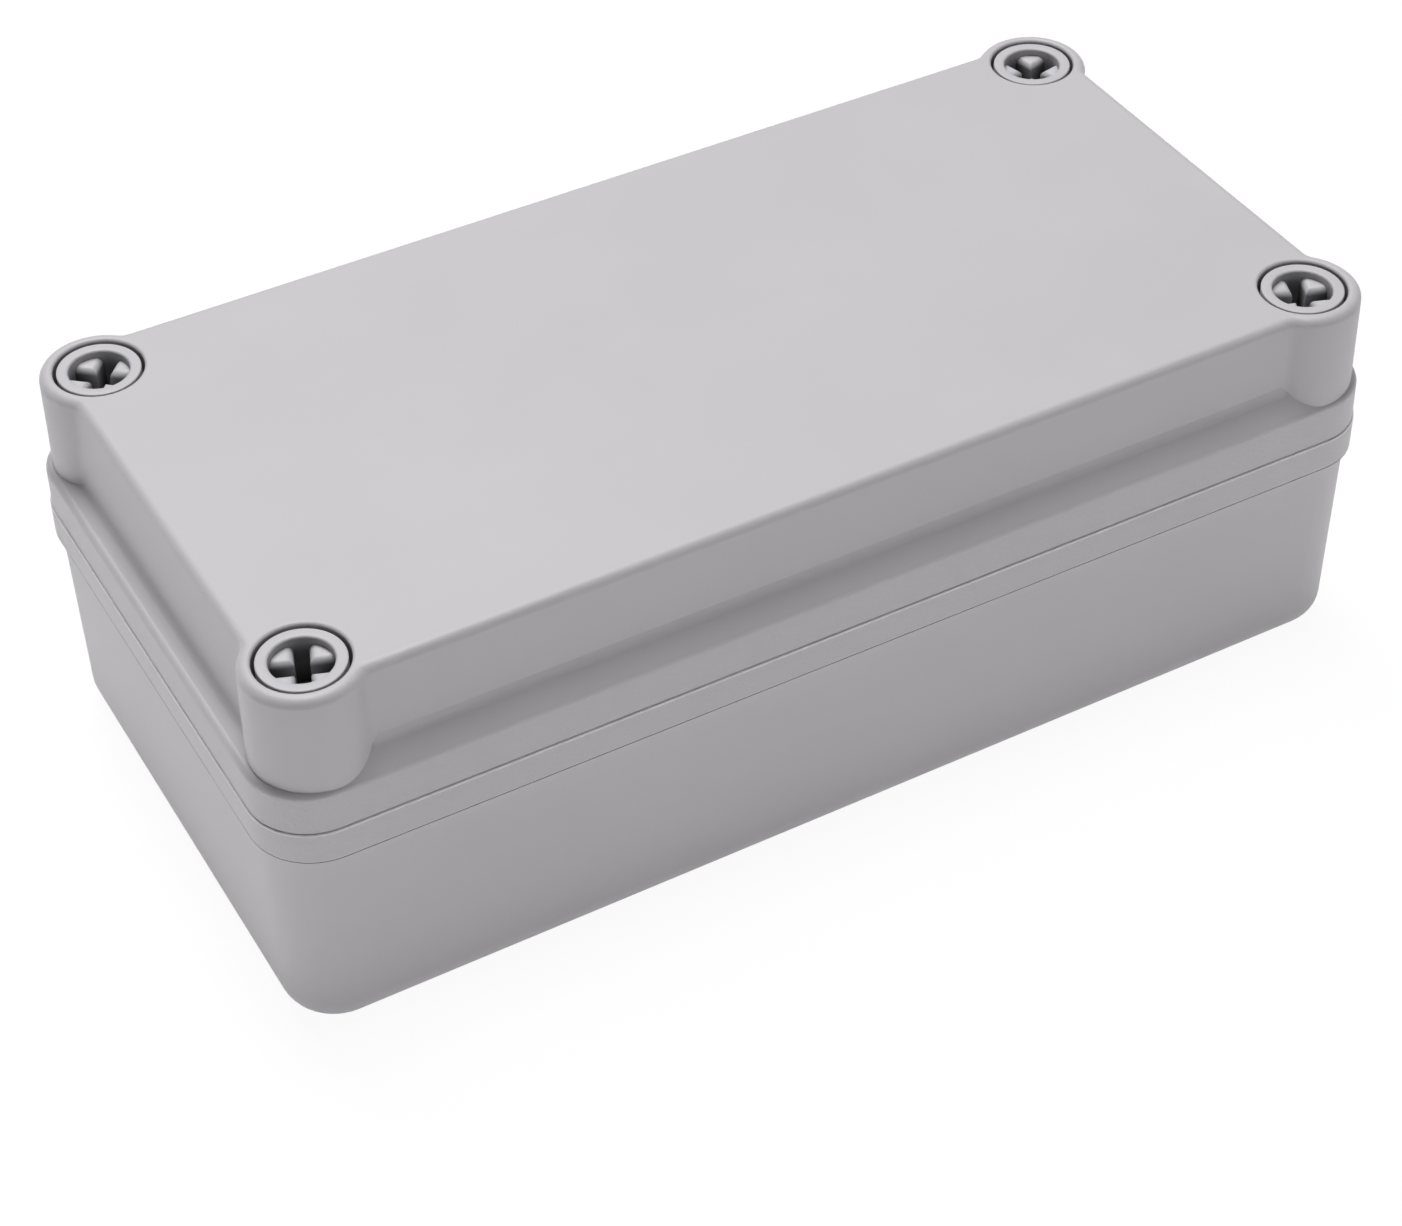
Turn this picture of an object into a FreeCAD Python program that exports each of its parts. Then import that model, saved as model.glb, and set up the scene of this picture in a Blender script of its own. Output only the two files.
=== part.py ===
import FreeCAD, Part
import math
import os

V = FreeCAD.Vector

# Project box of two moulded shells, four long lid screws and a cord seal.
# +X runs along the length, +Y to the back, +Z up; the origin is the middle of the underside.

# Outside of the closed box
length = 160.0
width = 80.0
height = 55.0
lid_height = 20.1
corner_radius = 8.5

# Base shell
base_wall = 3.0
base_floor = 3.0
rim_height = 4.7
rim_step = 0.8
rim_top_radius = 0.3
rim_line_height = 0.1
rim_line_depth = 0.15
rim_bead_height = 0.1
rim_small_edge = 0.04
base_draft = 0.8
bottom_radius = 4.0
cavity_floor_radius = 1.5

# Lid shell
flange_height = 6.1
flange_edge_radius = 0.9
flange_inset = 0.2
flange_taper = 0.1
shadow_gap_height = 0.08
shadow_gap_depth = 0.4
shadow_gap_edge = 0.04
lid_wall_inset_x = 3.95
lid_wall_inset_y = 3.1
lid_wall = 2.6
lid_plate = 2.5
cavity_step_drop = 1.7
lid_draft = 0.9
short_wall_draft = 3.3
lid_top_radius = 1.2
long_slope_start = 0.7
long_slope_sink = 0.1
long_slope_angle = 52.0
short_slope_start = 1.2
short_slope_sink = 0.0
short_slope_angle = 20.0
slope_blend = 0.8
boss_blend_radius = 1.9
lid_bore_edge_radius = 0.45

# Lid screws: head, smooth shank, coarse thread with two flats, rounded pilot
screw_inset_x = 9.1
screw_inset_y = 8.45
screw_head_radius = 5.4
screw_head_length = 14.0
screw_head_edge = 0.35
screw_seat_edge = 0.6
screw_shank_radius = 3.7
screw_shank_length = 13.3
thread_radius = 4.5
thread_root_radius = 3.95
thread_length = 11.2
thread_ridges = 6
ridge_crest = 0.6
thread_flat_reach = 3.75
pilot_radius = 3.0
pilot_length = 2.5
pilot_edge = 1.2
head_recess = 0.3

# Cross recess in the screw head
recess_radius = 3.9
recess_depth = 1.1
recess_edge_radius = 0.35
recess_floor_radius = 0.25
slot_width = 2.0
slot_edge_radius = 0.35
slot_depth = 7.0
screw_turns = {"front_left": 69.0, "front_right": 69.0, "rear_left": 49.0, "rear_right": 13.0}

# Fits
head_clearance = 0.45
thread_clearance = 0.15
tongue_clearance = 0.3
seal_clearance = 0.1

# Corner columns, their bores and the holes for fixing the box to a wall
boss_skin = 1.75
column_skin = 1.15
column_blend_radius = 3.0
bore_floor = 5.0
wall_hole_radius = 2.3

# Tongue on the base, groove in the lid and the seal pressed into it
tongue_width = 1.0
tongue_edge = 0.2
seal_height = 1.4
groove_depth = 3.2

# Bosses for a circuit board
board_spacing_x = 104.0
board_spacing_y = 56.0
board_boss_radius = 3.25
board_boss_height = 5.0
board_boss_foot = 0.8
board_hole_radius = 1.3
board_hole_depth = 6.5

# Sizes worked out from those above
half_length = length / 2
half_width = width / 2
parting = height - lid_height
shelf = parting + flange_height
screw_x = half_length - screw_inset_x
screw_y = half_width - screw_inset_y
screw_top = height - head_recess
seat_level = screw_top - screw_head_length
lid_bore_radius = screw_head_radius + head_clearance
thread_bore_radius = thread_radius + thread_clearance
boss_radius = lid_bore_radius + boss_skin
rim_width = rim_step + base_wall
column_radius = lid_bore_radius + column_skin + rim_width
groove_width = tongue_width + 2 * tongue_clearance
tongue_height = groove_depth - seal_height
seal_width = groove_width - 2 * seal_clearance
cavity_x = half_length - rim_width
cavity_y = half_width - rim_width
lid_face_x = half_length - lid_wall_inset_x
lid_face_y = half_width - lid_wall_inset_y
lid_lean = math.tan(math.radians(lid_draft))
short_wall_lean = math.tan(math.radians(short_wall_draft))

corners = {
    "front_left": (-screw_x, -screw_y),
    "front_right": (screw_x, -screw_y),
    "rear_left": (-screw_x, screw_y),
    "rear_right": (screw_x, screw_y),
}


def loop_face(points, place):
    """Face inside a closed loop of (u, v, radius) corners, each rounded by its radius."""
    starts = []
    middles = []
    ends = []
    for index, (u, v, radius) in enumerate(points):
        here = V(u, v, 0)
        before = V(points[index - 1][0], points[index - 1][1], 0) - here
        after_point = points[(index + 1) % len(points)]
        after = V(after_point[0], after_point[1], 0) - here
        before.normalize()
        after.normalize()
        half = before.getAngle(after) / 2
        bisector = before + after
        if radius > 0 and bisector.Length > 1e-6:
            bisector.normalize()
            reach = radius / math.tan(half)
            starts.append(here + before * reach)
            ends.append(here + after * reach)
            middles.append(here + bisector * (radius / math.sin(half) - radius))
        else:
            starts.append(here)
            ends.append(here)
            middles.append(None)
    edges = []
    for index, middle in enumerate(middles):
        start = place(starts[index].x, starts[index].y)
        end = place(ends[index].x, ends[index].y)
        if middle is not None:
            edges.append(Part.Arc(start, place(middle.x, middle.y), end).toShape())
        following = starts[(index + 1) % len(points)]
        onward = place(following.x, following.y)
        if end.distanceToPoint(onward) > 1e-6:
            edges.append(Part.LineSegment(end, onward).toShape())
    return Part.Face(Part.Wire(edges))


def turned(profile, x=0.0, y=0.0, sweep=360):
    """Solid of revolution about a vertical axis from a half profile of (radius, z, rounding)."""
    points = [(0.0, profile[0][1], 0.0)] + profile + [(0.0, profile[-1][1], 0.0)]
    face = loop_face(points, lambda u, v: V(x + u, y, v))
    return face.revolve(V(x, y, 0), V(0, 0, 1), sweep)


def mouth_rounding(radius, edge_radius, top, x=0.0, y=0.0):
    """Cutter that rounds the upper edge of a round hole."""
    ring = turned([
        (radius, top - edge_radius, 0.0),
        (radius + edge_radius, top - edge_radius, 0.0),
        (radius + edge_radius, top, 0.0),
    ], x, y)
    return ring.cut(Part.makeTorus(radius + edge_radius, edge_radius, V(x, y, top - edge_radius)))


def rounded_block(profile, centre_x, centre_y):
    """Block whose side profile, measured out from the corner centres, runs all the way round."""
    left = [(-(centre_x + u), z, r) for u, z, r in reversed(profile)]
    right = [(centre_x + u, z, r) for u, z, r in profile]
    back = [(centre_y + u, z, r) for u, z, r in profile]
    front = [(-(centre_y + u), z, r) for u, z, r in reversed(profile)]
    along_y = loop_face(right + left, lambda u, v: V(u, -centre_y, v)).extrude(V(0, 2 * centre_y, 0))
    along_x = loop_face(back + front, lambda u, v: V(-centre_x, u, v)).extrude(V(2 * centre_x, 0, 0))
    corner = turned(profile, sweep=90)
    blocks = [along_x]
    for angle, sx, sy in ((0, 1, 1), (90, -1, 1), (180, -1, -1), (270, 1, -1)):
        post = corner.rotated(V(0, 0, 0), V(0, 0, 1), angle)
        blocks.append(post.translated(V(sx * centre_x, sy * centre_y, 0)))
    return along_y.multiFuse(blocks).removeSplitter()


def post_outline(z, blend_x, blend_y, post_radius, blend_radius, facing):
    """Outline that goes round the four corner posts, with a blend arc on either side of each.

    blend_x and blend_y place the blend centres beside the straight walls. facing is 1 where the
    posts stand inside the outline and -1 where they bulge out of it.
    """
    span = post_radius + blend_radius
    beside = (blend_x, screw_y - math.sqrt(span ** 2 - (blend_x - screw_x) ** 2))
    ahead = (screw_x - math.sqrt(span ** 2 - (blend_y - screw_y) ** 2), blend_y)
    edges = []
    walls = []
    for sx, sy in ((1, 1), (-1, 1), (-1, -1), (1, -1)):
        post = V(sx * screw_x, sy * screw_y, z)
        wall_points = []
        post_points = []
        for centre, normal in ((beside, V(sx * facing, 0, 0)), (ahead, V(0, sy * facing, 0))):
            blend = V(sx * centre[0], sy * centre[1], z)
            away = (blend - post).normalize()
            wall_points.append(blend + normal * blend_radius)
            post_points.append(post + away * post_radius)
            middle = blend + (normal - away).normalize() * blend_radius
            edges.append(Part.Arc(wall_points[-1], middle, post_points[-1]).toShape())
        bulge = V(-sx * facing, -sy * facing, 0).normalize()
        edges.append(Part.Arc(post_points[0], post + bulge * post_radius, post_points[1]).toShape())
        walls.append(wall_points)
    for index, points in enumerate(walls):
        following = walls[(index + 1) % 4]
        turn = 1 - index % 2
        edges.append(Part.LineSegment(points[turn], following[turn]).toShape())
    return Part.Wire(Part.__sortEdges__(edges))


def inner_wire(z, offset, reach_x, reach_y):
    """Outline of the cavity, which passes inside the corner columns, moved out by offset."""
    blend_x = reach_x - column_blend_radius
    blend_y = reach_y - column_blend_radius
    return post_outline(z, blend_x, blend_y, column_radius - offset, column_blend_radius + offset, 1)


def inner_band(z, depth, middle, band, reach_x, reach_y):
    """Ring that follows the cavity outline, band wide, with its middle line offset by middle."""
    outer = Part.Face(inner_wire(z, middle + band / 2, reach_x, reach_y)).extrude(V(0, 0, depth))
    inner = Part.Face(inner_wire(z, middle - band / 2, reach_x, reach_y)).extrude(V(0, 0, depth))
    return outer.cut(inner)


def edges_at(shape, z):
    """Edges that lie flat at one height."""
    found = []
    for edge in shape.Edges:
        box = edge.BoundBox
        if abs(box.ZMin - z) < 1e-4 and abs(box.ZMax - z) < 1e-4:
            found.append(edge)
    return found


def base_outside():
    """Drafted walls with a rounded foot and a proud rim, which ends below in a fine mould line."""
    rim_foot = parting - rim_height
    line_foot = rim_foot + rim_bead_height
    wall_top = corner_radius - rim_step
    wall_low = wall_top - rim_foot * math.tan(math.radians(base_draft))
    profile = [
        (wall_low, 0.0, bottom_radius),
        (wall_top, rim_foot, 0.0),
        (corner_radius, rim_foot, rim_small_edge),
        (corner_radius, line_foot, 0.0),
        (corner_radius - rim_line_depth, line_foot, 0.0),
        (corner_radius - rim_line_depth, line_foot + rim_line_height, 0.0),
        (corner_radius, line_foot + rim_line_height, rim_small_edge),
        (corner_radius, parting, rim_top_radius),
    ]
    return rounded_block(profile, half_length - corner_radius, half_width - corner_radius)


def base_cavity():
    """Room inside the base, with rounded edges at the floor."""
    room = Part.Face(inner_wire(base_floor, 0.0, cavity_x, cavity_y)).extrude(V(0, 0, parting - base_floor))
    return room.makeFillet(cavity_floor_radius, edges_at(room, base_floor))


def board_boss(x, y):
    """Small boss on the floor for a self-tapping screw, with a cone at its foot."""
    top = base_floor + board_boss_height
    profile = [
        (board_boss_radius + board_boss_foot, base_floor, 0.0),
        (board_boss_radius, base_floor + board_boss_foot, 0.0),
        (board_boss_radius, top, 0.0),
    ]
    return turned(profile, x, y)


def board_hole(x, y):
    top = base_floor + board_boss_height
    return Part.makeCylinder(board_hole_radius, board_hole_depth, V(x, y, top - board_hole_depth))


def column_bore(x, y):
    """Bore for the lid screw, with a smaller hole at its foot for fixing the box to a wall."""
    bore = Part.makeCylinder(thread_bore_radius, parting - bore_floor, V(x, y, bore_floor))
    return bore.fuse(Part.makeCylinder(wall_hole_radius, bore_floor, V(x, y, 0)))


def tongue():
    """Rib on the rim that presses the seal up into the groove of the lid."""
    rib = inner_band(parting, tongue_height, rim_width / 2, tongue_width, cavity_x, cavity_y)
    return rib.makeChamfer(tongue_edge, edges_at(rib, parting + tongue_height))


def make_base():
    board_places = [(sx * board_spacing_x / 2, sy * board_spacing_y / 2) for sx in (-1, 1) for sy in (-1, 1)]
    shell = base_outside().cut(base_cavity())
    shell = shell.multiFuse([tongue()] + [board_boss(x, y) for x, y in board_places])
    holes = [column_bore(x, y) for x, y in corners.values()]
    holes += [board_hole(x, y) for x, y in board_places]
    return shell.cut(Part.makeCompound(holes)).removeSplitter()


def lid_outline(z, grow, grow_x):
    """Outline of the lid above its flange: straight walls blended into the four round bosses."""
    blend_x = lid_face_x + grow_x + boss_blend_radius
    blend_y = lid_face_y + grow + boss_blend_radius
    return post_outline(z, blend_x, blend_y, boss_radius + grow, boss_blend_radius, -1)


def lid_flange():
    """Foot of the lid, with a narrow shadow gap above the parting line."""
    reach = corner_radius - flange_inset
    profile = [
        (reach - shadow_gap_depth, parting, 0.0),
        (reach - shadow_gap_depth, parting + shadow_gap_height, 0.0),
        (reach, parting + shadow_gap_height, shadow_gap_edge),
        (reach - flange_taper, shelf, flange_edge_radius),
    ]
    return rounded_block(profile, half_length - corner_radius, half_width - corner_radius)


def lid_crown():
    """Raised part of the lid, drafted, with its top edge rounded."""
    foot = parting + flange_edge_radius
    drop = height - foot
    low = lid_outline(foot, drop * lid_lean, drop * short_wall_lean)
    high = lid_outline(height, 0.0, 0.0)
    crown = Part.makeLoft([low, high], True, True)
    return crown.makeFillet(lid_top_radius, edges_at(crown, height))


def wall_slope(half, wall_inset, lean, start, sink, angle, length):
    """Prism that fills the corner between the flange and the set-in front wall with a slope."""
    level = shelf - sink
    rise = math.tan(math.radians(angle))
    run = (wall_inset - start - (height - level) * lean) / (1 - rise * lean)
    crease = V(0, start + run - half, level + run * rise)
    along = V(0, 1, rise).normalize()
    slope_end = crease - along * slope_blend
    wall_end = crease + V(0, lean, 1) * slope_blend
    inside = wall_inset + slope_blend - half
    foot = level - slope_blend
    points = [
        wall_end,
        V(0, inside, wall_end.z),
        V(0, inside, foot),
        V(0, start + 0.2 - half, foot),
        crease - along * (run / math.cos(math.radians(angle)) + 0.4),
        slope_end,
    ]
    curve = Part.BezierCurve()
    curve.setPoles([slope_end, crease, wall_end])
    face = Part.Face(Part.Wire([Part.makePolygon(points), curve.toShape()]))
    return face.translated(V(-length / 2, 0, 0)).extrude(V(length, 0, 0))


def lid_slopes():
    """Slopes that run from the flange up to the four set-in walls and end inside the bosses."""
    front = wall_slope(half_width, lid_wall_inset_y, lid_lean,
                       long_slope_start, long_slope_sink, long_slope_angle, 2 * screw_x)
    side = wall_slope(half_length, lid_wall_inset_x, short_wall_lean,
                      short_slope_start, short_slope_sink, short_slope_angle, 2 * screw_y)
    slopes = []
    for prism, angle in ((front, 0), (side, 90), (front, 180), (side, 270)):
        slopes.append(prism.rotated(V(0, 0, 0), V(0, 0, 1), angle))
    return slopes


def lid_cavity():
    """Room inside the lid: wide behind the flange, narrower between the set-in walls."""
    ceiling = height - lid_plate
    step = shelf - cavity_step_drop
    inner_x = lid_face_x - lid_wall
    inner_y = lid_face_y - lid_wall
    wide = Part.Face(inner_wire(parting, 0.0, cavity_x, cavity_y)).extrude(V(0, 0, step - parting))
    deep = Part.Face(inner_wire(parting, 0.0, inner_x, inner_y)).extrude(V(0, 0, ceiling - parting))
    deep = deep.makeFillet(cavity_floor_radius, edges_at(deep, ceiling))
    return wide.fuse(deep)


def lid_bore(x, y):
    """Stepped bore: wide for the screw head, with a soft mouth, and narrower for the thread."""
    head_bore = Part.makeCylinder(lid_bore_radius, height - seat_level, V(x, y, seat_level))
    through = Part.makeCylinder(thread_bore_radius, seat_level - parting, V(x, y, parting))
    return head_bore.multiFuse([through, mouth_rounding(lid_bore_radius, lid_bore_edge_radius, height, x, y)])


def make_lid():
    body = lid_flange().fuse(lid_crown()).multiFuse(lid_slopes())
    groove = inner_band(parting, groove_depth, rim_width / 2, groove_width, cavity_x, cavity_y)
    bores = [lid_bore(x, y) for x, y in corners.values()]
    return body.cut(lid_cavity()).cut(groove).cut(Part.makeCompound(bores)).removeSplitter()


def make_seal():
    """Cord seal of square section at the bottom of the groove."""
    low = parting + tongue_height
    return inner_band(low, seal_height, rim_width / 2, seal_width, cavity_x, cavity_y)


def thread_profile(top):
    """Rounded ridges from the top of the thread down, as corners of the screw's half profile."""
    pitch = thread_length / thread_ridges
    points = []
    for ridge in range(thread_ridges):
        crest = top - (ridge + 0.5) * pitch
        points.append((thread_radius, crest + ridge_crest / 2, 0.0))
        points.append((thread_radius, crest - ridge_crest / 2, 0.0))
        if ridge < thread_ridges - 1:
            points.append((thread_root_radius, crest - pitch / 2, 0.0))
    return points


def screw_recess():
    """Flat round recess with a soft mouth and a deep cross slot with rounded edges in its floor."""
    land = screw_top - recess_depth
    dish = turned([(recess_radius, land, recess_floor_radius), (recess_radius, screw_top, 0.0)])
    half_slot = slot_width / 2
    bar = loop_face([
        (half_slot + slot_edge_radius, land, 0.0),
        (half_slot, land, slot_edge_radius),
        (half_slot, screw_top - slot_depth, 0.0),
        (-half_slot, screw_top - slot_depth, 0.0),
        (-half_slot, land, slot_edge_radius),
        (-half_slot - slot_edge_radius, land, 0.0),
    ], lambda u, v: V(u, -recess_radius, v)).extrude(V(0, 2 * recess_radius, 0))
    cross = bar.fuse(bar.rotated(V(0, 0, 0), V(0, 0, 1), 90))
    well = Part.makeCylinder(recess_radius, slot_depth, V(0, 0, screw_top - slot_depth))
    return dish.multiFuse([cross.common(well), mouth_rounding(recess_radius, recess_edge_radius, screw_top)])


def make_screw(turn):
    thread_top = seat_level - screw_shank_length
    thread_foot = thread_top - thread_length
    tip = thread_foot - pilot_length
    profile = [
        (screw_head_radius, screw_top, screw_head_edge),
        (screw_head_radius, seat_level, screw_seat_edge),
        (screw_shank_radius, seat_level, 0.0),
        (screw_shank_radius, thread_top, 0.0),
    ]
    profile += thread_profile(thread_top)
    profile += [
        (pilot_radius, thread_foot, 0.0),
        (pilot_radius, tip, pilot_edge),
    ]
    body = turned(profile)
    reach = 2 * thread_radius
    for start in (thread_flat_reach, -thread_flat_reach - reach):
        flat = Part.makeBox(2 * reach, reach, thread_length, V(-reach, start, thread_foot))
        body = body.cut(flat)
    body = body.cut(screw_recess()).removeSplitter()
    return body.rotated(V(0, 0, 0), V(0, 0, 1), turn)


def export(name, shape):
    solids = shape.Solids
    print(name, "solids", len(solids), "valid", shape.isValid(), "volume", round(shape.Volume, 1))
    solid = solids[0] if len(solids) == 1 else Part.makeCompound(solids)
    solid.exportStep(os.path.join("parts", name + ".step"))


os.makedirs("parts", exist_ok=True)
export("base_shell", make_base())
export("lid", make_lid())
export("lid_seal", make_seal())
for place, (x, y) in corners.items():
    screw = make_screw(screw_turns[place])
    export("lid_screw_" + place, screw.translated(V(x, y, 0)))
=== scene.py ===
import math

import bmesh
import bpy
from mathutils import Matrix, Vector


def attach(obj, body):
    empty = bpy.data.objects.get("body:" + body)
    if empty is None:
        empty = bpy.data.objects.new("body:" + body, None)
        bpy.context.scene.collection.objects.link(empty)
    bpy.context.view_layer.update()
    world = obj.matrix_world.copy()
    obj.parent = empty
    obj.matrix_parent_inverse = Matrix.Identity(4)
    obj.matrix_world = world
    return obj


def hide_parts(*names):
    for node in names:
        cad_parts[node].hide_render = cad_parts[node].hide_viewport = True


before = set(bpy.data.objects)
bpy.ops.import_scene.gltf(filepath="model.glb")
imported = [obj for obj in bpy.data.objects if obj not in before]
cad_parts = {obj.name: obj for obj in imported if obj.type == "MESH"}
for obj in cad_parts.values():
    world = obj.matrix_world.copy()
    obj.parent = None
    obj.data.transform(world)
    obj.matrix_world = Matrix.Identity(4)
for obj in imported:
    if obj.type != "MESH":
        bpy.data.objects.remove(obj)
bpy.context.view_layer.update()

mm = 0.001


# materials

nodeMix = {
    "cloudDetail": 3.0,
    "grainDetail": 2.0,
    "pitDetail": 1.0,
    "deepBelow": 0.3,                     # cloud values below and above which one tone stands alone
    "plainAbove": 0.7,
    "paintedShadeSamples": 12,
}
boxFinish = {
    "tone": (0.591, 0.572, 0.593),        # light grey with a trace of violet
    "toneDeep": (0.576, 0.557, 0.578),
    "cloudScale": 45.0,                   # soft clouds about 20 mm across
    "grainScale": 2600.0,                 # moulded matt grain about 0.4 mm across
    "grainHeight": 0.012 * mm,
    "roughLow": 0.44,
    "roughHigh": 0.54,
    "paintedShadeReach": 1.1 * mm,             # painted shade: the colour darkens in deep gaps narrower than this
    "paintedShadeOpen": (0.1, 0.65),           # share of open sky at which the painted shade is darkest and ends
    "paintedShadeTone": 0.14,
}
screwFinish = {
    "tone": (0.585, 0.575, 0.600),
    "toneDeep": (0.565, 0.555, 0.580),
    "cloudScale": 160.0,
    "grainScale": 3200.0,
    "grainHeight": 0.010 * mm,
    "roughLow": 0.42,
    "roughHigh": 0.52,
    "paintedShadeReach": 0.9 * mm,
    "paintedShadeOpen": (0.1, 0.65),
    # 1.0: no painted shade on the outside of the screws
    "paintedShadeTone": 1.0,
}
# painted shade in the cross recess: a much darker colour deep in the slots, from a longer occlusion reach
slotShadeFinish = dict(screwFinish, paintedShadeReach=3.2 * mm, paintedShadeOpen=(0.15, 0.75), paintedShadeTone=0.05)
sealFinish = {
    "tone": (0.030, 0.030, 0.031),        # dark foam rubber
    "toneDeep": (0.018, 0.018, 0.019),
    "cloudScale": 500.0,
    "grainScale": 4200.0,
    "grainHeight": 0.05 * mm,
    "roughLow": 0.75,
    "roughHigh": 0.9,
    "paintedShadeReach": 1.0 * mm,
    "paintedShadeOpen": (0.1, 0.65),
    # painted shade in the seal's creases
    "paintedShadeTone": 0.4,
}
rimBand = {
    "low": 30.3 * mm,                     # rim and flange have a coarser moulded grain than the walls
    "high": 40.4 * mm,
    "pitScale": 2600.0,
    "pitHeight": 0.07 * mm,
    "paintedLightBands": (                            # bands of painted light: low, high and tone
        (34.6 * mm, 34.98 * mm, (0.95, 0.93, 0.95)),      # painted highlight on the rim's upper edge, which also lightens the shaded joint faces
        (30.39 * mm, 30.51 * mm, (0.78, 0.765, 0.78)),    # painted light: a lighter line just above the mould line at the rim's foot, softening its shade
    ),
}


def makePlastic(name, finish):
    mat = bpy.data.materials.new(name)
    mat.use_nodes = True
    tree = mat.node_tree
    shader = tree.nodes["Principled BSDF"]
    place = tree.nodes.new("ShaderNodeTexCoord")
    cloud = tree.nodes.new("ShaderNodeTexNoise")
    cloud.inputs["Scale"].default_value = finish["cloudScale"]
    cloud.inputs["Detail"].default_value = nodeMix["cloudDetail"]
    grain = tree.nodes.new("ShaderNodeTexNoise")
    grain.inputs["Scale"].default_value = finish["grainScale"]
    grain.inputs["Detail"].default_value = nodeMix["grainDetail"]
    tone = tree.nodes.new("ShaderNodeValToRGB")
    tone.color_ramp.elements[0].position = nodeMix["deepBelow"]
    tone.color_ramp.elements[0].color = (*finish["toneDeep"], 1)
    tone.color_ramp.elements[1].position = nodeMix["plainAbove"]
    tone.color_ramp.elements[1].color = (*finish["tone"], 1)
    # painted shade: an ambient occlusion node darkens the base colour in gaps, creases and recesses
    crevice = tree.nodes.new("ShaderNodeAmbientOcclusion")
    crevice.samples = nodeMix["paintedShadeSamples"]
    crevice.inputs["Distance"].default_value = finish["paintedShadeReach"]
    openness = tree.nodes.new("ShaderNodeMapRange")
    openness.inputs["From Min"].default_value = finish["paintedShadeOpen"][0]
    openness.inputs["From Max"].default_value = finish["paintedShadeOpen"][1]
    openness.inputs["To Min"].default_value = finish["paintedShadeTone"]
    shaded = tree.nodes.new("ShaderNodeVectorMath")
    shaded.operation = "SCALE"
    rough = tree.nodes.new("ShaderNodeMapRange")
    rough.inputs["To Min"].default_value = finish["roughLow"]
    rough.inputs["To Max"].default_value = finish["roughHigh"]
    bump = tree.nodes.new("ShaderNodeBump")
    bump.inputs["Distance"].default_value = finish["grainHeight"]
    bump.inputs["Strength"].default_value = 1.0
    link = tree.links.new
    link(place.outputs["Object"], cloud.inputs["Vector"])
    link(place.outputs["Object"], grain.inputs["Vector"])
    link(cloud.outputs["Fac"], tone.inputs["Fac"])
    link(crevice.outputs["AO"], openness.inputs["Value"])
    link(tone.outputs["Color"], shaded.inputs["Vector"])
    link(openness.outputs["Result"], shaded.inputs["Scale"])
    link(shaded.outputs["Vector"], shader.inputs["Base Color"])
    link(cloud.outputs["Fac"], rough.inputs["Value"])
    link(rough.outputs["Result"], shader.inputs["Roughness"])
    link(grain.outputs["Fac"], bump.inputs["Height"])
    link(bump.outputs["Normal"], shader.inputs["Normal"])
    return mat


def between(tree, height, low, high):
    # 1 between two heights, 0 elsewhere
    above = tree.nodes.new("ShaderNodeMath")
    above.operation = "GREATER_THAN"
    above.inputs[1].default_value = low
    below = tree.nodes.new("ShaderNodeMath")
    below.operation = "LESS_THAN"
    below.inputs[1].default_value = high
    both = tree.nodes.new("ShaderNodeMath")
    both.operation = "MULTIPLY"
    tree.links.new(height, above.inputs[0])
    tree.links.new(height, below.inputs[0])
    tree.links.new(above.outputs[0], both.inputs[0])
    tree.links.new(below.outputs[0], both.inputs[1])
    return both.outputs[0]


def addRimBand(mat, band):
    # a coarser grain under the fine one on rim and flange, and bands of painted light along the rim
    tree = mat.node_tree
    fine = tree.nodes["Bump"]
    shader = tree.nodes["Principled BSDF"]
    paintedColour = shader.inputs["Base Color"].links[0].from_socket
    place = tree.nodes.new("ShaderNodeTexCoord")
    axes = tree.nodes.new("ShaderNodeSeparateXYZ")
    pits = tree.nodes.new("ShaderNodeTexNoise")
    pits.inputs["Scale"].default_value = band["pitScale"]
    pits.inputs["Detail"].default_value = nodeMix["pitDetail"]
    coarse = tree.nodes.new("ShaderNodeBump")
    coarse.inputs["Distance"].default_value = band["pitHeight"]
    link = tree.links.new
    link(place.outputs["Object"], axes.inputs["Vector"])
    link(place.outputs["Object"], pits.inputs["Vector"])
    link(between(tree, axes.outputs["Z"], band["low"], band["high"]), coarse.inputs["Strength"])
    link(pits.outputs["Fac"], coarse.inputs["Height"])
    link(coarse.outputs["Normal"], fine.inputs["Normal"])
    # painted light: in each band the colour is replaced by a lighter tone, which also drops the painted
    # shade there
    for low, high, tone in band["paintedLightBands"]:
        paintedLight = tree.nodes.new("ShaderNodeMixRGB")
        paintedLight.inputs["Color2"].default_value = (*tone, 1)
        link(between(tree, axes.outputs["Z"], low, high), paintedLight.inputs["Fac"])
        link(paintedColour, paintedLight.inputs["Color1"])
        paintedColour = paintedLight.outputs["Color"]
    link(paintedColour, shader.inputs["Base Color"])


boxPlastic = makePlastic("boxPlastic", boxFinish)
addRimBand(boxPlastic, rimBand)
screwPlastic = makePlastic("screwPlastic", screwFinish)
slotPaintedShade = makePlastic("slotPaintedShade", slotShadeFinish)
sealRubber = makePlastic("sealRubber", sealFinish)
for nodeName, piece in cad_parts.items():
    mat = boxPlastic
    if "screw" in nodeName:
        mat = screwPlastic
    if "seal" in nodeName:
        mat = sealRubber
    piece.data.materials.clear()
    piece.data.materials.append(mat)
print("materials ready")


# lid screws

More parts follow.
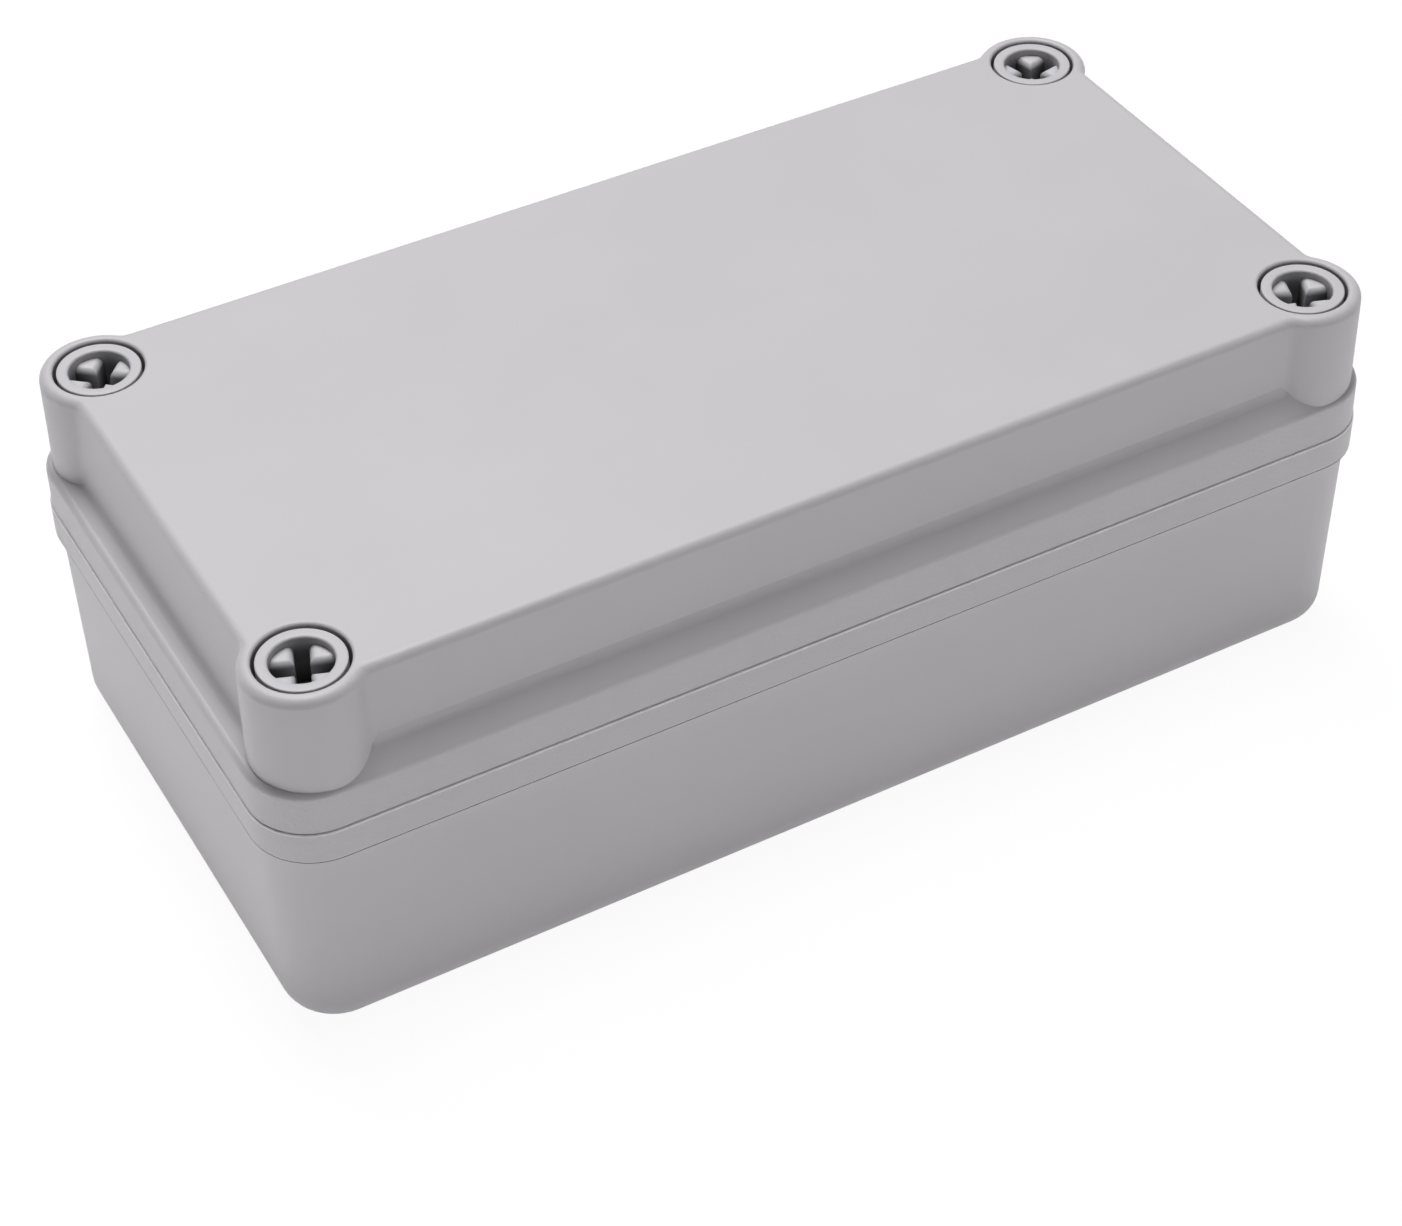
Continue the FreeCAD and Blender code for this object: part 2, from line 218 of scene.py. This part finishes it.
lidScrew = {                      # lengths in millimetres, angles in degrees
    "places": {                   # name: corner, x, y, turn of the cross in degrees
        "frontLeftScrew": ("front_left", -70.9, -31.55, 69.0),
        "frontRightScrew": ("front_right", 70.9, -31.55, 69.0),
        "rearLeftScrew": ("rear_left", -70.9, 31.55, 49.0),
        "rearRightScrew": ("rear_right", 70.9, 31.55, 13.0),
    },
    "top": 54.7,
    "headRadius": 5.4,
    "headLength": 14.0,
    "headEdge": 0.18,
    "seatEdge": 0.6,
    "shankRadius": 3.7,
    "shankLength": 13.3,
    "threadRadius": 4.48,
    "threadRoot": 3.95,
    "threadLength": 11.2,
    "threadPitch": 11.2 / 6,      # six turns in the length of the thread
    "threadFlat": 3.75,           # half the distance across the two flats
    "pilotRadius": 3.0,
    "pilotLength": 2.5,
    "pilotEdge": 1.2,
    "recessRadius": 3.9,
    "recessDepth": 1.1,
    "recessEdge": 0.35,
    "slotWidth": 1.8,
    "slotDepth": 5.9,             # below the floor of the recess
    "slotEdge": 1.0,
    "slotEdgeSteps": 8,
    "slotClear": (0.05, 0.03),    # the rim keeps no points from this far in a slot to this far past its edge
    "ridgeReach": 0.42,           # half the foot of the ridge, as a share of the pitch
    "ridgeRise": 1.35,            # above 1, so that the crest is flat
    "ridgeFade": 0.7,
    "steps": 96,
    "edgeSteps": 5,
    "seatSteps": 6,
    "threadRows": 72,
    "sharpAngle": 35,
    "levelNormal": 0.9,
    "merge": 0.0005,
    "cutMerge": 0.002,
    "touch": 0.001,               # points closer than this are at one place
}


def arcPoints(centreR, centreZ, radius, startAngle, endAngle, count):
    points = []
    for step in range(count + 1):
        angle = math.radians(startAngle + (endAngle - startAngle) * step / count)
        points.append((centreR + radius * math.cos(angle), centreZ + radius * math.sin(angle)))
    return points


def screwProfile(s):
    # from the foot of the recess wall over the head, down the shank and the thread to the tip
    seat = s["top"] - s["headLength"]
    threadTop = seat - s["shankLength"]
    threadFoot = threadTop - s["threadLength"]
    tip = threadFoot - s["pilotLength"]
    points = [(s["recessRadius"], s["top"] - s["recessDepth"])]
    mouth = s["recessRadius"] + s["recessEdge"]
    points += arcPoints(mouth, s["top"] - s["recessEdge"], s["recessEdge"], 180, 90, s["edgeSteps"])
    rim = s["headRadius"] - s["headEdge"]
    points += arcPoints(rim, s["top"] - s["headEdge"], s["headEdge"], 90, 0, s["edgeSteps"])
    under = s["headRadius"] - s["seatEdge"]
    points += arcPoints(under, seat + s["seatEdge"], s["seatEdge"], 0, -90, s["seatSteps"])
    points += [(s["shankRadius"], seat), (s["shankRadius"], threadTop)]
    for row in range(s["threadRows"] + 1):
        points.append((s["threadRoot"], threadTop - s["threadLength"] * row / s["threadRows"]))
    points.append((s["pilotRadius"], threadFoot))
    inner = s["pilotRadius"] - s["pilotEdge"]
    points += arcPoints(inner, tip + s["pilotEdge"], s["pilotEdge"], 0, -90, s["seatSteps"])
    return points


def cutThread(mesh, s):
    # raises one helical ridge out of the root, faded at both ends and cut by two flats
    seat = s["top"] - s["headLength"]
    high = seat - s["shankLength"]
    low = high - s["threadLength"]
    rise = s["threadRadius"] - s["threadRoot"]
    for v in mesh.verts:
        x, y, z = v.co / mm
        radius = math.hypot(x, y)
        threaded = low - s["touch"] < z < high + s["touch"]
        if not threaded or radius < s["threadRoot"] - s["touch"]:
            continue
        phase = (z / s["threadPitch"] - math.atan2(y, x) / (2 * math.pi)) % 1.0
        ridge = max(0.0, 1 - abs(phase - 0.5) / s["ridgeReach"])
        fade = max(0.0, min(1.0, (high - z) / s["ridgeFade"], (z - low) / s["ridgeFade"]))
        grown = s["threadRoot"] + rise * min(1.0, ridge * s["ridgeRise"]) * fade
        y = y * grown / radius
        x = x * grown / radius
        v.co = Vector((x, max(-s["threadFlat"], min(s["threadFlat"], y)), z)) * mm


def recessFloor(mesh, s):
    # the level faces at the foot of the recess
    found = []
    for f in mesh.faces:
        off = f.calc_center_median().z / mm - s["top"] + s["recessDepth"]
        if abs(off) < s["touch"] and abs(f.normal.z) > s["levelNormal"]:
            found.append(f)
    return found


def cutCross(mesh, s):
    # the floor of the recess is divided by the edges of two crossing slots, which sink into it
    floor = s["top"] - s["recessDepth"]
    half = s["slotWidth"] / 2 * mm
    clear = half + s["slotEdge"] * mm           # the rim is kept free of points where the slots open
    inside, outside = s["slotClear"]
    spare = []
    for v in mesh.verts:
        if v.is_boundary and abs(v.co.z / mm - floor) < s["touch"]:
            near = min(abs(v.co.x), abs(v.co.y))
            if half - inside * mm < near < clear + outside * mm:
                spare.append(v)
    bmesh.ops.dissolve_verts(mesh, verts=spare)
    rim = [e for e in mesh.edges if e.is_boundary and abs(e.verts[0].co.z / mm - floor) < s["touch"]]
    bmesh.ops.edgeloop_fill(mesh, edges=rim)
    for direction in (Vector((1, 0, 0)), Vector((0, 1, 0))):
        for side in (-1, 1):
            parts = recessFloor(mesh, s)
            partEdges = {e for f in parts for e in f.edges}
            partVerts = {v for f in parts for v in f.verts}
            bmesh.ops.bisect_plane(mesh, geom=[*parts, *partEdges, *partVerts], dist=s["cutMerge"] * mm,
                                   plane_co=direction * half * side, plane_no=direction,
                                   clear_inner=False, clear_outer=False)
    parts = recessFloor(mesh, s)
    slot = []
    for f in parts:
        c = f.calc_center_median()
        if abs(c.x) < half or abs(c.y) < half:
            slot.append(f)
    edges = []
    for f in slot:
        for e in f.edges:
            others = [g for g in e.link_faces if g not in slot]
            if others and others[0] in parts:
                edges.append((e.verts[0].co.copy(), e.verts[1].co.copy()))
    sunk = bmesh.ops.extrude_face_region(mesh, geom=slot)["geom"]
    bmesh.ops.delete(mesh, geom=slot, context="FACES")
    moved = [v for v in sunk if isinstance(v, bmesh.types.BMVert)]
    bmesh.ops.translate(mesh, vec=Vector((0, 0, -s["slotDepth"] * mm)), verts=moved)
    landEdges = []
    for e in mesh.edges:
        ends = (e.verts[0].co, e.verts[1].co)
        for a, b in edges:
            straight = max((ends[0] - a).length, (ends[1] - b).length)
            turned = max((ends[0] - b).length, (ends[1] - a).length)
            if min(straight, turned) < s["touch"] * mm:
                landEdges.append(e)
                break
    bmesh.ops.bevel(mesh, geom=landEdges, offset=s["slotEdge"] * mm, offset_type="OFFSET",
                    segments=s["slotEdgeSteps"], profile=0.5, affect="EDGES", clamp_overlap=False,
                    material=-1)
    for f in mesh.faces:                        # lands and slots take the second material, which paints shade that darkens deep into the slots
        c = f.calc_center_median() / mm
        within = math.hypot(c.x, c.y) < s["recessRadius"] + s["touch"]
        if within and s["top"] > c.z > floor - s["slotDepth"] - s["touch"]:
            f.material_index = 1


def addScrew(name, s):
    corner, x, y, turn = s["places"][name]
    mesh = bmesh.new()
    outline = [mesh.verts.new((r * mm, 0, z * mm)) for r, z in screwProfile(s)]
    edges = [mesh.edges.new(pair) for pair in zip(outline, outline[1:])]
    bmesh.ops.spin(mesh, geom=outline + edges, cent=(0, 0, 0), axis=(0, 0, 1), dvec=(0, 0, 0),
                   angle=2 * math.pi, steps=s["steps"], use_merge=True, use_duplicate=False)
    bmesh.ops.remove_doubles(mesh, verts=mesh.verts, dist=s["merge"] * mm)
    tipRim = [e for e in mesh.edges if e.is_boundary and e.verts[0].co.z / mm < s["top"] - s["headLength"]]
    bmesh.ops.edgeloop_fill(mesh, edges=tipRim)
    cutThread(mesh, s)
    cutCross(mesh, s)
    bmesh.ops.recalc_face_normals(mesh, faces=mesh.faces)
    turned = Matrix.Rotation(math.radians(turn), 3, "Z")
    bmesh.ops.rotate(mesh, cent=(0, 0, 0), matrix=turned, verts=mesh.verts)
    bmesh.ops.translate(mesh, vec=(x * mm, y * mm, 0), verts=mesh.verts)
    data = bpy.data.meshes.new(name)
    mesh.to_mesh(data)
    mesh.free()
    data.shade_smooth()
    data.set_sharp_from_angle(angle=math.radians(s["sharpAngle"]))
    data.materials.append(screwPlastic)
    data.materials.append(slotPaintedShade)
    screw = bpy.data.objects.new(name, data)
    bpy.context.scene.collection.objects.link(screw)
    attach(screw, "screw_" + corner)
    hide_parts("lid_screw_" + corner)


for screwName in lidScrew["places"]:
    addScrew(screwName, lidScrew)
print("lid screws ready")


# cord seal in the groove of the lid

lidSeal = {                       # lengths in millimetres, angles in degrees
    "low": 36.7,                  # height of its underside
    "cordSize": 1.4,              # across the pressed cord
    "fullness": 0.76,             # radius that the cord would have if it weren't pressed
    "column": (70.9, 31.55),      # centre of the corner column that it passes
    "columnTurn": 8.9,            # radius of its path round the column
    "bendTurn": 4.9,              # radius of its path where it leaves the wall
    "reach": (78.1, 38.1),        # its straight runs along the walls
    "turnSteps": 14,
    "roundSteps": 20,
    "sharpAngle": 50,
    "merge": 0.001,
}


def addSeal(name, s):
    # a quarter of the loop is swept by turns about three upright axes, then mirrored twice
    mesh = bmesh.new()
    half = s["cordSize"] / 2
    ring = bmesh.ops.create_circle(mesh, cap_ends=False, segments=s["roundSteps"],
                                   radius=s["fullness"] * mm)["verts"]
    for v in ring:
        x, z = (max(-half, min(half, c / mm)) for c in v.co.xy)
        v.co = Vector((s["reach"][0] + x, 0, s["low"] + half + z)) * mm
    span = s["columnTurn"] + s["bendTurn"]
    column = Vector(s["column"])
    sideX = s["reach"][0] - s["bendTurn"]
    aheadY = s["reach"][1] - s["bendTurn"]
    side = Vector((sideX, column.y - math.sqrt(span ** 2 - (sideX - column.x) ** 2)))
    ahead = Vector((column.x - math.sqrt(span ** 2 - (aheadY - column.y) ** 2), aheadY))
    leave = math.atan2(column.y - side.y, column.x - side.x)
    join = math.atan2(ahead.y - column.y, ahead.x - column.x)
    turns = (
        (side, leave),
        (column, join - leave - math.pi),
        (ahead, math.pi / 2 - join + math.pi),
    )
    front = ring + list({e for v in ring for e in v.link_edges})

    def runOn(front, shift):
        rims = [g for g in front if isinstance(g, bmesh.types.BMEdge)]
        out = bmesh.ops.extrude_edge_only(mesh, edges=rims)["geom"]
        verts = [g for g in out if isinstance(g, bmesh.types.BMVert)]
        bmesh.ops.translate(mesh, vec=shift, verts=verts)
        return verts + [g for g in out if isinstance(g, bmesh.types.BMEdge)]

    front = runOn(front, Vector((0, side.y * mm, 0)))
    for centre, angle in turns:
        spun = bmesh.ops.spin(mesh, geom=front, cent=(centre.x * mm, centre.y * mm, 0), axis=(0, 0, 1),
                              dvec=(0, 0, 0), angle=angle, steps=s["turnSteps"], use_merge=False,
                              use_duplicate=False)
        front = spun["geom_last"]
    front = runOn(front, Vector((-ahead.x * mm, 0, 0)))
    for axis in ("X", "Y"):
        whole = list(mesh.verts) + list(mesh.edges) + list(mesh.faces)
        bmesh.ops.mirror(mesh, geom=whole, matrix=Matrix.Identity(4), merge_dist=s["merge"] * mm, axis=axis)
    bmesh.ops.remove_doubles(mesh, verts=mesh.verts, dist=s["merge"] * mm)
    bmesh.ops.recalc_face_normals(mesh, faces=mesh.faces)
    data = bpy.data.meshes.new(name)
    mesh.to_mesh(data)
    mesh.free()
    data.shade_smooth()
    data.set_sharp_from_angle(angle=math.radians(s["sharpAngle"]))
    data.materials.append(sealRubber)
    seal = bpy.data.objects.new(name, data)
    bpy.context.scene.collection.objects.link(seal)
    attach(seal, "lid")
    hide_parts("lid_seal")


addSeal("lidCordSeal", lidSeal)
print("cord seal ready")


# floor, lights and camera

studio = {                    # lengths in metres
    "floorSize": 4.0,
    "floorTone": 0.9,
    "floorRough": 0.9,
    "floorWhite": 0.9,        # share of pure white that the camera sees in the floor
    "whiteStart": 0.3,        # distances at which that share starts to grow and is whole
    "whiteFull": 0.8,
    "floorGlow": (0.335, 0.44),    # the floor is a lit table, brighter to the left of the box
    "glowStart": -0.04,       # x where it starts to grow and where it is whole
    "glowFull": -0.14,
    "skyLight": 0.0,
    "lamps": {                # name: place, aim, width, height, power in watts
        "topSoftbox": ((0.06, 0.1, 1.2), (0.0, 0.0, 0.03), 0.5, 0.5, 9.5),
        "rearSoftbox": ((0.0, 0.6, 1.1), (0.0, 0.0, 0.03), 0.5, 0.5, 5.9),
        "frontFill": ((0.9, -1.1, 0.35), (0.0, 0.0, 0.03), 0.7, 0.5, 0.9),
    },
}


def addFloor():
    bpy.ops.mesh.primitive_plane_add(size=studio["floorSize"], location=(0, 0, 0))
    floor = bpy.context.object
    floor.name = "floor"
    mat = bpy.data.materials.new("floorPaper")
    mat.use_nodes = True
    tree = mat.node_tree
    paper = tree.nodes["Principled BSDF"]
    paper.inputs["Base Color"].default_value = (studio["floorTone"],) * 3 + (1,)
    paper.inputs["Roughness"].default_value = studio["floorRough"]
    paper.inputs["Specular IOR Level"].default_value = 0.0
    paper.inputs["Emission Color"].default_value = (1, 1, 1, 1)
    place = tree.nodes.new("ShaderNodeTexCoord")
    axes = tree.nodes.new("ShaderNodeSeparateXYZ")
    glow = tree.nodes.new("ShaderNodeMapRange")
    glow.inputs["From Min"].default_value = studio["glowStart"]
    glow.inputs["From Max"].default_value = studio["glowFull"]
    glow.inputs["To Min"].default_value = studio["floorGlow"][0]
    glow.inputs["To Max"].default_value = studio["floorGlow"][1]
    tree.links.new(place.outputs["Object"], axes.inputs["Vector"])
    tree.links.new(axes.outputs["X"], glow.inputs["Value"])
    tree.links.new(glow.outputs["Result"], paper.inputs["Emission Strength"])
    white = tree.nodes.new("ShaderNodeEmission")
    rays = tree.nodes.new("ShaderNodeLightPath")
    far = tree.nodes.new("ShaderNodeVectorMath")
    far.operation = "LENGTH"
    share = tree.nodes.new("ShaderNodeMapRange")
    share.inputs["From Min"].default_value = studio["whiteStart"]
    share.inputs["From Max"].default_value = studio["whiteFull"]
    share.inputs["To Min"].default_value = studio["floorWhite"]
    seen = tree.nodes.new("ShaderNodeMath")
    seen.operation = "MULTIPLY"
    mix = tree.nodes.new("ShaderNodeMixShader")
    tree.links.new(place.outputs["Object"], far.inputs[0])
    tree.links.new(far.outputs["Value"], share.inputs["Value"])
    tree.links.new(share.outputs["Result"], seen.inputs[1])
    tree.links.new(rays.outputs["Is Camera Ray"], seen.inputs[0])
    tree.links.new(seen.outputs[0], mix.inputs["Fac"])
    tree.links.new(paper.outputs["BSDF"], mix.inputs[1])
    tree.links.new(white.outputs["Emission"], mix.inputs[2])
    tree.links.new(mix.outputs["Shader"], tree.nodes["Material Output"].inputs["Surface"])
    floor.data.materials.append(mat)


def addWorld():
    world = bpy.data.worlds.new("studioSky")
    world.use_nodes = True
    bpy.context.scene.world = world
    tree = world.node_tree
    sky = tree.nodes["Background"]
    sky.inputs["Color"].default_value = (1, 1, 1, 1)
    sky.inputs["Strength"].default_value = studio["skyLight"]
    white = tree.nodes.new("ShaderNodeBackground")
    white.inputs["Color"].default_value = (1, 1, 1, 1)
    white.inputs["Strength"].default_value = 1.0
    rays = tree.nodes.new("ShaderNodeLightPath")
    mix = tree.nodes.new("ShaderNodeMixShader")
    tree.links.new(rays.outputs["Is Camera Ray"], mix.inputs["Fac"])
    tree.links.new(sky.outputs["Background"], mix.inputs[1])
    tree.links.new(white.outputs["Background"], mix.inputs[2])
    tree.links.new(mix.outputs["Shader"], tree.nodes["World Output"].inputs["Surface"])


def addLamps():
    for name, (place, aim, wide, high, power) in studio["lamps"].items():
        lamp = bpy.data.lights.new(name, "AREA")
        lamp.shape = "RECTANGLE"
        lamp.size = wide
        lamp.size_y = high
        lamp.energy = power
        holder = bpy.data.objects.new(name, lamp)
        bpy.context.scene.collection.objects.link(holder)
        holder.location = place
        holder.rotation_mode = "QUATERNION"
        holder.rotation_quaternion = (Vector(aim) - Vector(place)).to_track_quat("-Z", "Y")


shot = {
    "azimuth": -28.588,        # degrees round from straight in front
    "elevation": 41.644,
    "roll": -1.082,
    "distance": 410.70 * mm,
    "aim": (-13.028 * mm, -20.721 * mm, 27.528 * mm),
    "focalPixels": 3201.9,     # focal length in pixels of the photograph
    "photoWidth": 1402,
    "sensor": 36.0,
    "clipNear": 10 * mm,
    "clipFar": 20000 * mm,
}


def addCamera():
    turn = math.radians(shot["azimuth"])
    rise = math.radians(shot["elevation"])
    roll = math.radians(shot["roll"])
    back = Vector((math.sin(turn) * math.cos(rise), -math.cos(turn) * math.cos(rise), math.sin(rise)))
    level = Vector((math.cos(turn), math.sin(turn), 0))
    upright = back.cross(level)
    right = level * math.cos(roll) + upright * math.sin(roll)
    up = upright * math.cos(roll) - level * math.sin(roll)
    lens = bpy.data.cameras.new("photoCamera")
    lens.sensor_width = shot["sensor"]
    lens.lens = shot["focalPixels"] * shot["sensor"] / shot["photoWidth"]
    lens.clip_start = shot["clipNear"]
    lens.clip_end = shot["clipFar"]
    camera = bpy.data.objects.new("photoCamera", lens)
    bpy.context.scene.collection.objects.link(camera)
    place = Vector(shot["aim"]) + back * shot["distance"]
    camera.matrix_world = Matrix.Translation(place) @ Matrix((right, up, back)).transposed().to_4x4()
    bpy.context.scene.camera = camera


addFloor()
addWorld()
addLamps()
addCamera()
bpy.context.scene.view_settings.view_transform = "Standard"
print("studio ready")
